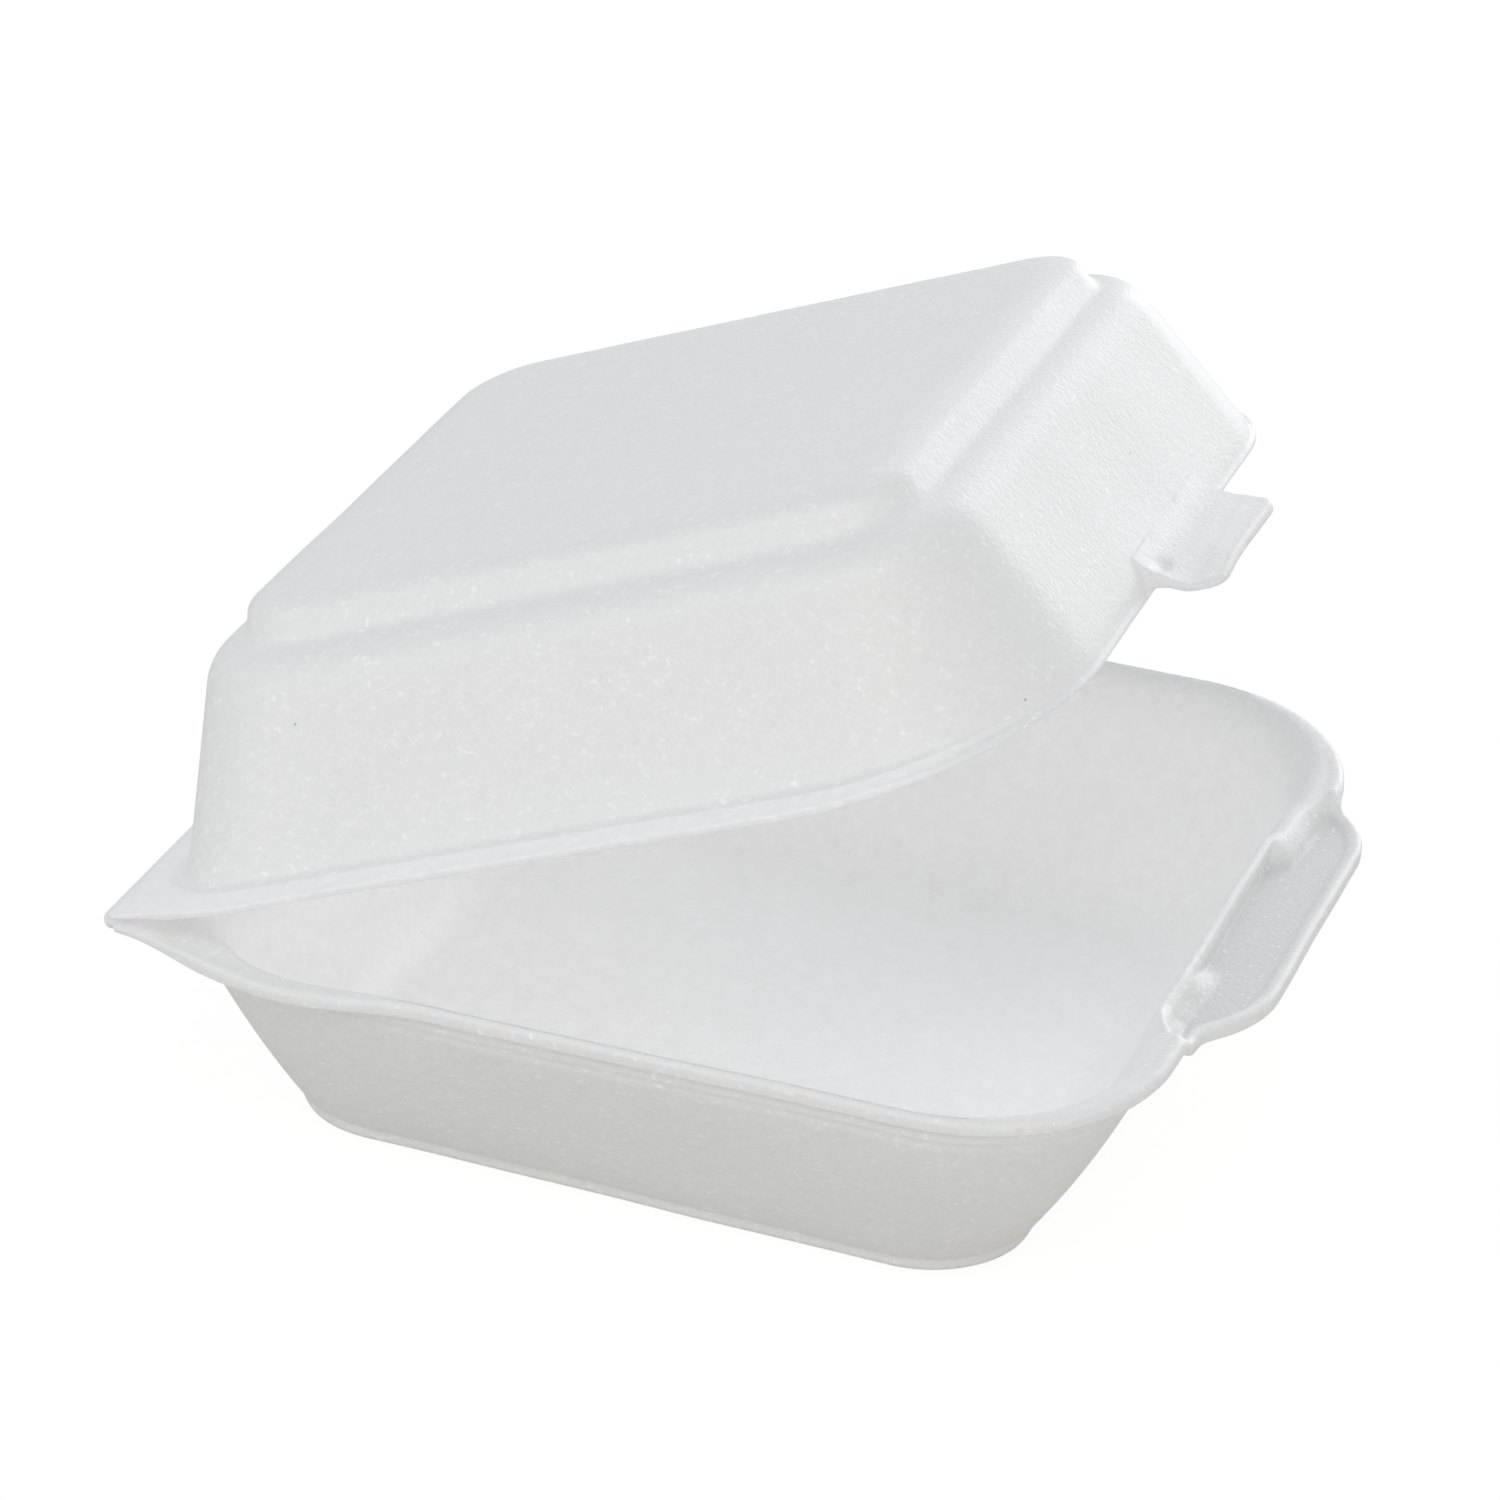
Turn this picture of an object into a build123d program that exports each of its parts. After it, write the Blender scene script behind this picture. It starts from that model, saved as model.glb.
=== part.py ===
from build123d import *
from math import atan2, cos, radians, sin
import os

# Foam clamshell container, millimetres, +Z up, front towards -Y.
# The origin is the centre of the foot that stands on the table.
# Fronts and backs of outlines are measured from the fold towards the front.

# sheet and fold
sheet = 2.3  # thickness of the foam sheet
seam_gap = 0.15  # air between the two rims when shut
hinge_y = 77.0
hinge_z = 34.4
rim_rise_deg = 1.1  # the rim climbs a little towards the front
lid_open_deg = 21.7  # how far the lid stands open
crease_radius = 1.5
crease_clearance = 0.2
crease_thin = 1.4  # the sheet is pressed thinner towards the fold
crease_thin_run = 3.2

# tray walls
foot_half = 56.8
foot_corner = 16.0
foot_step = 0.6  # small step that runs round the foot
foot_step_height = 2.4
neck_half = 73.2
neck_front = 150.2
neck_back = 6.2
neck_front_corner = 26.0
neck_back_corner = 26.0
neck_drop = 4.3  # the sloping wall starts this far under the rim
wall_bulge = 1.2
crest_inset = 1.4  # inner edge of the rim, from the neck
crest_front_inset = 3.0
crest_back_inset = 2.9
floor_fillet = 7.0
foot_fillet = 1.0
crest_fillet = 0.9

# tray rim
rim_side_lip = 1.1  # how far the rim stands out past the wall, at the sides and in front
rim_front_lip = 3.7
rim_half = neck_half + rim_side_lip
rim_front = neck_front + rim_front_lip
rim_corner = 30.0
rim_fillet = 0.6
ear_flare = 3.3  # how far the rim swings out near the fold
ear_turn = 31.0
ear_foot = 52.0
ear_waist_share = 0.3
crease_step = 4.3  # the fold stops this far inside the rim's sides
crease_half = rim_half - crease_step

# catch on the tray
catch_x = 6.5  # the catch sits a little to one side
notch_half = 18.0
notch_depth = 5.0
notch_wall = rim_front - notch_depth
notch_flare = 9.0
shelf_drop = 3.3
shelf_thick = 2.0
shelf_half = 41.0
shelf_reach = 7.3  # how far the flap stands out past the rim
shelf_overlap = 0.4  # how far its root runs into the wall
shelf_front = rim_front + shelf_reach
shelf_root = notch_wall - shelf_overlap
shelf_near_corner = 20.0
shelf_far_corner = 17.0
bead_width = 2.2
bead_height = 1.0
bead_fillet = 0.45

# lid
lid_side_setback = 0.2  # the lid's rim stops this far inside the tray's rim
lid_front_setback = 6.1
lid_rim_half = rim_half - lid_side_setback
lid_rim_front = rim_front - lid_front_setback
lid_near_corner = 38.0  # the two front corners of the lid aren't quite alike
lid_far_corner = 30.0
lid_ear_turn = 20.0
lid_ear_foot = 38.0
lid_wall_flare = 1.9  # the wall spreads this much where it meets the rim
lid_wall_flare_height = 1.1
lid_front_flare = 1.2
lid_flange = 3.7  # flat part of the rim beside the wall
lid_foot_half = lid_rim_half - lid_flange
lid_foot_back = 7.4
lid_corner_inset = 3.0
lid_foot_back_corner = 16.0
shoulder_height = 29.6
shoulder_inset = 12.8
shoulder_front_inset = 11.6
shoulder_back_inset = 8.6
shoulder_half = lid_foot_half - shoulder_inset
shoulder_front = lid_rim_front - shoulder_front_inset
shoulder_back = lid_foot_back + shoulder_back_inset
shoulder_corner = 19.0
shoulder_fillet = 6.0
ledge_width = 6.5
ledge_front_width = 4.6
ledge_back_width = 6.4
ledge_half = shoulder_half - ledge_width
ledge_front = shoulder_front - ledge_front_width
ledge_back = shoulder_back + ledge_back_width
ledge_corner = 12.0
ledge_rise = 1.2
band_height = 5.7  # the band between the ledge and the flat top
lid_height = shoulder_height + ledge_rise + band_height
band_lean = 2.2
ledge_fillet = 0.8
top_fillet = 2.6
lid_ceiling_fillet = 1.5

# tab on the lid
tab_half = 16.2
tab_overlap = 1.8  # how far its root runs into the lid's front
tab_root = lid_rim_front - tab_overlap
tab_root_top = 3.8
tab_root_low = 0.5
tab_clearance = 0.5  # the tab dips this far past the wall of the notch
tab_dip = 7.0
tab_over_wall = notch_wall + tab_clearance
tab_tip = tab_over_wall + tab_dip
tab_over_top = 2.1
tab_over_low = 0.3
tab_tip_top = -0.2
tab_tip_low = -2.0
tab_near_corner = 7.5
tab_far_corner = 2.5

overrun = 5.0
touch = 0.01
edge_probe_shares = (0.0, 0.3, 0.7, 1.0)


def leaf(angle_deg, height=0):
    """Plane through the fold, tipped up towards the front; its own Y runs to the back."""
    tilt = radians(angle_deg)
    plane = Plane(origin=(0, hinge_y, hinge_z), x_dir=(1, 0, 0), z_dir=(0, sin(tilt), cos(tilt)))
    return plane.offset(height)


def section(angle_deg, x=0):
    """Upright plane across the fold; its X runs to the back along the leaf, its Y up."""
    tilt = radians(angle_deg)
    back = (0, cos(tilt), -sin(tilt))
    return Plane(origin=(x, hinge_y, hinge_z), x_dir=back, z_dir=(1, 0, 0))


def edges_in(shape, plane):
    """Edges of a shape that lie wholly in a plane."""
    found = ShapeList()
    for edge in shape.edges():
        heights = [plane.to_local_coords(edge @ share).Z for share in edge_probe_shares]
        if max(abs(height) for height in heights) < touch:
            found.append(edge)
    return found


def top_face(shape, plane):
    """Largest face of a shape that lies in a plane."""
    flat = [face for face in shape.faces() if abs(plane.to_local_coords(face.center()).Z) < touch]
    return ShapeList(flat).sort_by(SortBy.AREA)[-1]


def rounded(plane, half, front, back, near_corner, far_corner, back_corner):
    """Rounded rectangle; front and back are counted from the plane's origin towards the front."""
    with BuildSketch(plane) as outline:
        with Locations((0, -(front + back) / 2)):
            Rectangle(2 * half, front - back)
        fillet(outline.vertices().group_by(Axis.Y)[0].sort_by(Axis.X)[0], near_corner)
        fillet(outline.vertices().group_by(Axis.Y)[0].sort_by(Axis.X)[-1], far_corner)
        fillet(outline.vertices().group_by(Axis.Y)[-1], back_corner)
    return outline.sketch


def rim_outline(half, front, near_corner, far_corner, flare, turn, foot):
    """Outline of a rim: the straight fold, an ear at each end of it, a rounded front."""
    waist = crease_half + ear_waist_share * (half + flare - crease_half)
    with BuildSketch() as outline:
        for side, corner in ((-1, near_corner), (1, far_corner)):
            with BuildLine():
                fold = Line((0, 0), (side * crease_half, 0))
                ear = Spline(
                    fold @ 1,
                    (side * waist, -turn / 3),
                    (side * (half + flare), -turn),
                    (side * half, -foot),
                    tangents=((0, -1), (0, -1)),
                )
                edge = Line(ear @ 1, (side * half, corner - front))
                bend = RadiusArc(edge @ 1, (side * (half - corner), -front), side * corner)
                middle = Line(bend @ 1, (0, -front))
                Line(middle @ 1, fold @ 0)
            make_face()
    return outline.sketch


tray_leaf = rim_rise_deg
lid_leaf = rim_rise_deg + lid_open_deg
crease_reach = rim_half + overrun

# tray sections, from the foot up
foot_front = hinge_y + foot_half
foot_back = hinge_y - foot_half
wall_across = sheet / cos(atan2(neck_half - foot_half, hinge_z - neck_drop))
lid_wall_start = sheet + lid_wall_flare_height
lid_wall_run = lid_foot_half - lid_wall_flare - shoulder_half
lid_across = sheet / cos(atan2(lid_wall_run, shoulder_height - lid_wall_start))
mid_tilt = radians(rim_rise_deg / 2)
mid_plane = Plane(
    origin=(0, hinge_y, (hinge_z - neck_drop + foot_step_height) / 2),
    x_dir=(1, 0, 0),
    z_dir=(0, sin(mid_tilt), cos(mid_tilt)),
)


def foot(height, grow):
    """Outline near the foot, at a height and grown by a width."""
    size = foot_half + grow
    corner = foot_corner + grow
    return rounded(Plane.XY.offset(height), size, size, -size, corner, corner, corner)


def middle(grow):
    """Outline half way up the tray's wall, grown by a width."""
    front_corner = (foot_corner + neck_front_corner) / 2 + grow
    return rounded(
        mid_plane,
        (foot_half + neck_half) / 2 + grow,
        (foot_front + neck_front) / 2 + grow,
        (foot_back + neck_back) / 2 - grow,
        front_corner,
        front_corner,
        (foot_corner + neck_back_corner) / 2 + grow,
    )


def neck():
    """Outline of the wall where it meets the rim."""
    return rounded(
        leaf(tray_leaf, -neck_drop), neck_half, neck_front, neck_back,
        neck_front_corner, neck_front_corner, neck_back_corner,
    )


def crest():
    """Inner edge of the tray's rim."""
    front_corner = neck_front_corner - crest_inset
    return rounded(
        leaf(tray_leaf), neck_half - crest_inset, neck_front - crest_front_inset,
        neck_back + crest_back_inset, front_corner, front_corner, neck_back_corner - crest_inset,
    )


def shelf(shrink):
    """Outline of the catch flap that stands out in front of the tray's rim, less a border."""
    front = shelf_front - shrink
    with BuildSketch() as outline:
        with Locations((catch_x, -front / 2)):
            Rectangle(2 * (shelf_half - shrink), front)
        fillet(outline.vertices().group_by(Axis.Y)[0].sort_by(Axis.X)[0], shelf_near_corner - shrink)
        fillet(outline.vertices().group_by(Axis.Y)[0].sort_by(Axis.X)[-1], shelf_far_corner - shrink)
        with Locations((catch_x, -(shelf_root + shelf_front) / 2)):
            Rectangle(2 * shelf_half, shelf_front - shelf_root, mode=Mode.INTERSECT)
    return outline.sketch


def lid_wall(height, across):
    """Outline of the lid's sloping wall at a height, set in by a width."""
    share = (height - lid_wall_start) / (shoulder_height - lid_wall_start)

    def between(start, end):
        return start + share * (end - start) - across

    return rounded(
        leaf(lid_leaf, height),
        between(lid_foot_half - lid_wall_flare, shoulder_half),
        between(lid_rim_front - lid_front_flare, shoulder_front),
        -between(-lid_foot_back - lid_wall_flare, -shoulder_back),
        between(lid_near_corner - lid_corner_inset - lid_wall_flare, shoulder_corner),
        between(lid_far_corner - lid_corner_inset - lid_wall_flare, shoulder_corner),
        between(lid_foot_back_corner - lid_wall_flare, shoulder_corner),
    )


def lid_band(height, half, front, back, corner):
    """Outline in the upper part of the lid, at a height."""
    return rounded(leaf(lid_leaf, height), half, front, back, corner, corner, corner)


tray_rim = rim_outline(rim_half, rim_front, rim_corner, rim_corner, ear_flare, ear_turn, ear_foot)
lid_rim = rim_outline(
    lid_rim_half, lid_rim_front, lid_near_corner, lid_far_corner, 0, lid_ear_turn, lid_ear_foot
)

# the hollow of the tray, as a solid to cut with
with BuildPart() as tray_hollow:
    loft([foot(sheet, foot_step - wall_across), middle(wall_bulge - wall_across), crest()])
    fillet(edges_in(tray_hollow.part, Plane.XY.offset(sheet)), floor_fillet)
    extrude(crest(), amount=overrun)

# the rounded bead along the free edge of the catch flap
with BuildPart() as bead:
    with BuildSketch(leaf(tray_leaf, -shelf_drop - touch)):
        add(shelf(0))
        add(shelf(bead_width), mode=Mode.SUBTRACT)
        with Locations((catch_x, -shelf_front)):
            Rectangle(2 * shelf_half, 2 * (shelf_front - rim_front), mode=Mode.INTERSECT)
    extrude(amount=bead_height + touch)
    long_edges = edges_in(bead.part, leaf(tray_leaf, bead_height - shelf_drop)).sort_by(SortBy.LENGTH)[2:]
    fillet(long_edges, bead_fillet)

# tray: foot, wall and rim in one moulded shell, with the catch in front
with BuildPart() as base:
    loft([foot(0, 0), foot(foot_step_height, 0)])
    fillet(edges_in(base.part, Plane.XY), foot_fillet)
    loft([foot(foot_step_height, foot_step), middle(wall_bulge), neck()])
    extrude(neck(), amount=neck_drop)
    with BuildSketch(leaf(tray_leaf, -sheet)):
        add(tray_rim)
    extrude(amount=sheet)
    add(tray_hollow.part, mode=Mode.SUBTRACT)
    fillet(top_face(base.part, leaf(tray_leaf)).inner_wires()[0].edges(), crest_fillet)
    rim_edges = top_face(base.part, leaf(tray_leaf)).outer_wire().edges()
    fillet(rim_edges.sort_by(Axis.Y)[:-1], rim_fillet)

    # a step under the rim carries the flap of the catch
    with BuildSketch(leaf(tray_leaf, -shelf_drop)):
        add(tray_rim)
        add(shelf(0), mode=Mode.INTERSECT)
    extrude(amount=shelf_drop - sheet)

    # the rim is notched back to the wall where the tab of the lid drops in
    with BuildSketch(leaf(tray_leaf, -shelf_drop)):
        with BuildLine():
            near_x = catch_x - notch_half
            far_x = catch_x + notch_half
            outer_y = -(shelf_front + overrun)
            cut = Polyline((near_x, outer_y), (near_x, -notch_wall), (far_x, -notch_wall))
            swing = Spline(cut @ 1, (far_x + notch_flare, -rim_front), tangents=((1, -1), (0, -1)))
            Polyline(swing @ 1, (far_x + notch_flare, outer_y), (near_x, outer_y))
        make_face()
    extrude(amount=shelf_drop + overrun, mode=Mode.SUBTRACT)

    # the flap and its bead
    with BuildSketch(leaf(tray_leaf, -shelf_drop)):
        add(shelf(0))
    extrude(amount=-shelf_thick)
    add(bead.part)

    # the fold: the rim is pressed thin towards it and ends in a round bead
    with BuildSketch(section(tray_leaf, -crease_reach)):
        with BuildLine():
            Polyline(
                (-crease_thin_run, -sheet), (overrun, -sheet),
                (overrun, crease_thin * (1 + overrun / crease_thin_run) - sheet), close=True,
            )
        make_face()
    extrude(amount=2 * crease_reach, mode=Mode.SUBTRACT)
    with BuildSketch(section(tray_leaf, -crease_half)):
        Circle(crease_radius)
    extrude(amount=2 * crease_half)

# the hollow of the lid
lid_top_half = ledge_half - band_lean
lid_top_front = ledge_front - band_lean
lid_top_back = ledge_back + band_lean
lid_top_corner = ledge_corner - band_lean
with BuildPart() as lid_hollow:
    inner_foot = lid_wall(seam_gap, lid_across)
    ceiling = leaf(lid_leaf, lid_height - sheet)
    loft(
        [
            inner_foot,
            lid_wall(shoulder_height - sheet, lid_across),
            lid_band(
                shoulder_height + ledge_rise - sheet,
                ledge_half - sheet, ledge_front - sheet, ledge_back + sheet, ledge_corner - sheet,
            ),
            lid_band(
                lid_height - sheet, lid_top_half - sheet, lid_top_front - sheet,
                lid_top_back + sheet, lid_top_corner - sheet,
            ),
        ],
        ruled=True,
    )
    fillet(edges_in(lid_hollow.part, ceiling), lid_ceiling_fillet)
    fillet(edges_in(lid_hollow.part, leaf(lid_leaf, shoulder_height - sheet)), shoulder_fillet - sheet)
    extrude(inner_foot, amount=-overrun)

# the tab, a curled tongue with rounded corners
with BuildPart() as tab:
    with BuildSketch(section(lid_leaf, catch_x)):
        with BuildLine():
            upper = Spline(
                (-tab_root, tab_root_top), (-tab_over_wall, tab_over_top), (-tab_tip, tab_tip_top)
            )
            lower = Spline(
                (-tab_root, tab_root_low), (-tab_over_wall, tab_over_low), (-tab_tip, tab_tip_low)
            )
            Line(upper @ 0, lower @ 0)
            Line(upper @ 1, lower @ 1)
        make_face()
    extrude(amount=tab_half, both=True)
    with BuildSketch(leaf(lid_leaf, -overrun)):
        with Locations((catch_x, -(tab_root + tab_tip) / 2)):
            Rectangle(2 * tab_half, tab_tip - tab_root)
        fillet(vertices().group_by(Axis.Y)[0].sort_by(Axis.X)[0], tab_near_corner)
        fillet(vertices().group_by(Axis.Y)[0].sort_by(Axis.X)[-1], tab_far_corner)
    extrude(amount=2 * overrun, mode=Mode.INTERSECT)

# lid: a stepped dome with a rim that runs out towards the front
with BuildPart() as lid:
    wall_edges = [
        rounded(
            leaf(lid_leaf, height), lid_foot_half, lid_rim_front, lid_foot_back,
            lid_near_corner - lid_corner_inset, lid_far_corner - lid_corner_inset, lid_foot_back_corner,
        )
        for height in (seam_gap, sheet)
    ]
    ledge = lid_band(shoulder_height + ledge_rise, ledge_half, ledge_front, ledge_back, ledge_corner)
    top = lid_band(lid_height, lid_top_half, lid_top_front, lid_top_back, lid_top_corner)
    loft([*wall_edges, lid_wall(lid_wall_start, 0), lid_wall(shoulder_height, 0), ledge, top], ruled=True)
    fillet(edges_in(lid.part, leaf(lid_leaf, lid_height)), top_fillet)
    fillet(edges_in(lid.part, leaf(lid_leaf, shoulder_height)), shoulder_fillet)
    fillet(edges_in(lid.part, leaf(lid_leaf, shoulder_height + ledge_rise)), ledge_fillet)
    with BuildSketch(leaf(lid_leaf, seam_gap)):
        add(lid_rim)
    extrude(amount=sheet - seam_gap)
    add(lid_hollow.part, mode=Mode.SUBTRACT)
    add(tab.part)
    with BuildSketch(section(lid_leaf, -crease_reach)):
        with BuildLine():
            Polyline(
                (-crease_thin_run, sheet), (overrun, sheet),
                (overrun, sheet - crease_thin * (1 + overrun / crease_thin_run)), close=True,
            )
        make_face()
    extrude(amount=2 * crease_reach, mode=Mode.SUBTRACT)
    with BuildSketch(section(lid_leaf, -crease_reach)):
        Circle(crease_radius + crease_clearance)
    extrude(amount=2 * crease_reach, mode=Mode.SUBTRACT)

os.makedirs("parts", exist_ok=True)
base.part.label = "base"
export_step(base.part, "parts/base.step")
lid.part.label = "lid"
export_step(lid.part, "parts/lid.step")
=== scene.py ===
# %% [markdown]
# # A foam clamshell food box
# The box is one sheet of polystyrene foam, softened by heat and pressed over a mould.
# The fold at the back stays in the sheet as a hinge. The solid model gives the sizes and
# the moving bodies, and this file works out the soft skin that the mould leaves.

import bpy
import numpy as np
from mathutils import Matrix, Vector


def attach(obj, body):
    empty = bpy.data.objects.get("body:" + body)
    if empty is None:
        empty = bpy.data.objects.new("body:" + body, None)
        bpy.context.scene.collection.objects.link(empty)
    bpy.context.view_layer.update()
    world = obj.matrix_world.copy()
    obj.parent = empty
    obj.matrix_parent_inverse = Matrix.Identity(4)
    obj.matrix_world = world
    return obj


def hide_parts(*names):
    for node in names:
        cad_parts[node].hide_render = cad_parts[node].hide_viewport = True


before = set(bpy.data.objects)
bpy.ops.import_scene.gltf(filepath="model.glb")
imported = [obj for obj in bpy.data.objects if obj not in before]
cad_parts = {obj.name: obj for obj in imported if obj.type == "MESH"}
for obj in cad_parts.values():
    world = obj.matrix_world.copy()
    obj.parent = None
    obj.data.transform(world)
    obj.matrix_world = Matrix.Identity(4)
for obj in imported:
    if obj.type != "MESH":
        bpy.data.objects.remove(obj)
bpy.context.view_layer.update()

# %% [markdown]
# ## Two leaves and a fold
# Everything on the box is measured from the fold: x along it, a distance forward from it,
# and a height above the leaf. The tray's rim and the lid's rim are two such leaves, and
# each is tipped up towards the front by its own angle. Lengths are in millimetres until
# the last step, when a mesh is made.

# %% Sizes of the fold
MM = 0.001
FOLD_Y = 77.0
FOLD_Z = 34.4
TRAY_TILT = 1.1
LID_TILT = 22.8
SHEET = 2.3
FOLD_HALF = 70.0


def leaf_points(plan, height, tilt, lift=FOLD_Z):
    """Points of a leaf in the world. plan holds x and the distance forward; a point goes
    forward and up with the leaf's slope, and its height is added square to the leaf."""
    slope = np.radians(tilt)
    forward = plan[..., 1]
    height = np.broadcast_to(height, forward.shape)
    y = FOLD_Y - forward * np.cos(slope) + height * np.sin(slope)
    z = lift + forward * np.sin(slope) + height * np.cos(slope)
    return np.stack([plan[..., 0], y, z], axis=-1)


print("the lid stands open by", round(LID_TILT - TRAY_TILT, 1), "degrees")

# %% [markdown]
# ## Outlines that share their columns
# Every level of the box is a rounded rectangle: foot, wall, rim, lid top. If each of them
# is cut into the same number of steps along each side and each corner, then step number
# 200 of one level lies above step number 200 of the next, and the levels join into a grid.

# %% Steps round an outline
BACK_STEPS = 30
REAR_STEPS = 36
SIDE_STEPS = 50
FRONT_CORNER_STEPS = 48
FRONT_STEPS = 150


def steps(count):
    """Even shares from 0 up to, but without, 1."""
    return np.arange(count) / count


def run(start, end, count):
    """Points on a straight line: start plus a share of the way to the end."""
    return np.asarray(start) + steps(count)[:, None] * (np.asarray(end) - np.asarray(start))


def turn(centre, radius, first, last, count):
    """Points on an arc: the centre plus the radius times the cosine and sine."""
    angle = np.radians(first + steps(count) * (last - first))
    return np.asarray(centre) + radius * np.stack([np.cos(angle), np.sin(angle)], axis=-1)


def outline(half, front, back, near, far, rear):
    """Rounded rectangle, from the middle of the back round the near side, the front and
    the far side. front and back are distances from the fold, the rest are half width and
    corner radii."""
    return np.concatenate([
        run((0, back), (rear - half, back), BACK_STEPS),
        turn((rear - half, back + rear), rear, 270, 180, REAR_STEPS),
        run((-half, back + rear), (-half, front - near), SIDE_STEPS),
        turn((near - half, front - near), near, 180, 90, FRONT_CORNER_STEPS),
        run((near - half, front), (half - far, front), FRONT_STEPS),
        turn((half - far, front - far), far, 90, 0, FRONT_CORNER_STEPS),
        run((half, front - far), (half, back + rear), SIDE_STEPS),
        turn((half - rear, back + rear), rear, 0, -90, REAR_STEPS),
        run((half - rear, back), (0, back), BACK_STEPS),
    ])


# A rectangle with no size and corners of 1 is a unit circle: it says which way each step faces.
FACING = outline(1, 1, -1, 1, 1, 1)
COLUMNS = len(FACING)
print("columns round each level:", COLUMNS)

# %% [markdown]
# ## How far the rim reaches
# The rim is cut to its own outline, with an ear at each end of the fold. From the edge of
# the wall, a ray straight outwards meets that outline at the rim's width.

# %% Rim outlines and rays
def bend_through(at, values):
    """Smooth curve through a few points with level ends: a cubic spline whose slopes solve
    the rule that the curve's second derivative doesn't jump."""
    at, values = np.asarray(at, float), np.asarray(values, float)
    gap, rise = np.diff(at), np.diff(values)
    size = len(at)
    rules, wanted = np.eye(size), np.zeros(size)
    for i in range(1, size - 1):
        rules[i, i - 1:i + 2] = [1 / gap[i - 1], 2 / gap[i - 1] + 2 / gap[i], 1 / gap[i]]
        wanted[i] = 3 * (rise[i - 1] / gap[i - 1] ** 2 + rise[i] / gap[i] ** 2)
    slope = np.linalg.solve(rules, wanted)

    def curve(where):
        i = np.clip(np.searchsorted(at, where) - 1, 0, size - 2)
        t = (where - at[i]) / gap[i]
        return (
            values[i] * (1 + 2 * t) * (1 - t) ** 2
            + values[i + 1] * t * t * (3 - 2 * t)
            + slope[i] * gap[i] * t * (1 - t) ** 2
            - slope[i + 1] * gap[i] * t * t * (1 - t)
        )

    return curve


WAIST_SHARE = 0.3  # how wide an ear is at a third of its way, from the fold's width to its widest
RIM_STEPS = 80


def rim_outline(half, front, near, far, flare, widest, foot):
    """Closed outline of a rim: the fold, ears whose width is a smooth curve of the distance
    forward, straight sides, and two rounded front corners."""
    waist = FOLD_HALF + WAIST_SHARE * (half + flare - FOLD_HALF)
    ear = bend_through([0, widest / 3, widest, foot], [FOLD_HALF, waist, half + flare, half])
    forward = np.linspace(0, foot, RIM_STEPS)
    near_ear = np.stack([-ear(forward), forward], axis=-1)
    far_ear = np.stack([ear(forward[::-1]), forward[::-1]], axis=-1)
    return np.concatenate([
        near_ear,
        turn((near - half, front - near), near, 180, 90, RIM_STEPS),
        run((near - half, front), (half - far, front), 2),
        turn((half - far, front - far), far, 90, 0, RIM_STEPS),
        [(half, front - far)],
        far_ear,
    ])


def cross(a, b):
    """Cross product of plan vectors."""
    return a[..., 0] * b[..., 1] - a[..., 1] * b[..., 0]


def reach(start, edge, margin=6.0):
    """Distance from each step outwards to an outline: where the ray and a piece of the
    outline cross, the cross product of their offset with the piece gives the distance."""
    ray = FACING[:, None]
    origin = (start - margin * FACING)[:, None]
    first = edge[None]
    piece = np.roll(edge, -1, axis=0)[None] - first
    turned = cross(ray, piece)
    safe = np.where(np.abs(turned) < 1e-9, 1e-9, turned)
    along = cross(first - origin, piece) / safe
    share = cross(first - origin, ray) / safe
    hit = (share >= -1e-6) & (share <= 1 + 1e-6) & (along > 0) & (np.abs(turned) > 1e-9)
    return np.where(hit, along, np.inf).min(axis=1) - margin


tray_rim = rim_outline(half=74.3, front=153.9, near=30, far=30, flare=3.2, widest=31, foot=52)
lid_rim = rim_outline(half=74.1, front=147.5, near=38, far=30, flare=0, widest=20, foot=38)
print("points on the rims:", len(tray_rim), len(lid_rim))

# %% [markdown]
# ## Soft corners and skins
# The mould rounds every edge. A quadratic curve between two points, drawn towards the
# sharp corner, gives that rounding with one line of arithmetic for all columns at once.
# A skin is the finished grid: rings joined by faces, with a point in the middle of the
# first ring and of the last one, so the sheet is a closed shell with two sides.

# %% Corner and skin
def corner(first, sharp, last, count):
    """Rows of a rounded corner: (1-t) squared times the first point, 2t(1-t) times the
    sharp corner and t squared times the last point."""
    t = np.linspace(0, 1, count)[:, None, None]
    return (1 - t) ** 2 * first + 2 * t * (1 - t) * sharp + t * t * last


def between(first, last, count):
    """Rows on the straight way from one ring to another, without the two ends."""
    t = (np.arange(count) + 1)[:, None, None] / (count + 1)
    return first + t * (last - first)


def spread(ring, shares):
    """Rows that shrink a ring towards its middle by the given shares."""
    middle = ring.mean(axis=0)
    return middle + np.asarray(shares)[:, None, None] * (ring - middle)


def settle(points):
    """The sheet isn't dead true after the mould: a slow sideways wave of a fraction of a
    millimetre, made of sines of the place, moves inner and outer face together."""
    x, y, z = points[..., 0], points[..., 1], points[..., 2]
    wave_x = 0.10 * np.sin(y / 11.0 + z / 9.0) + 0.06 * np.sin(y / 4.7 - z / 6.0 + 1.0)
    wave_y = 0.09 * np.sin(x / 10.0 + z / 8.0 + 2.0) + 0.05 * np.sin(x / 4.3 + 0.5)
    fade = np.clip((FOLD_Y - y) / 12.0, 0, 1)
    return points + np.stack([wave_x * fade, wave_y * fade, np.zeros_like(x)], axis=-1)


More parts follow.
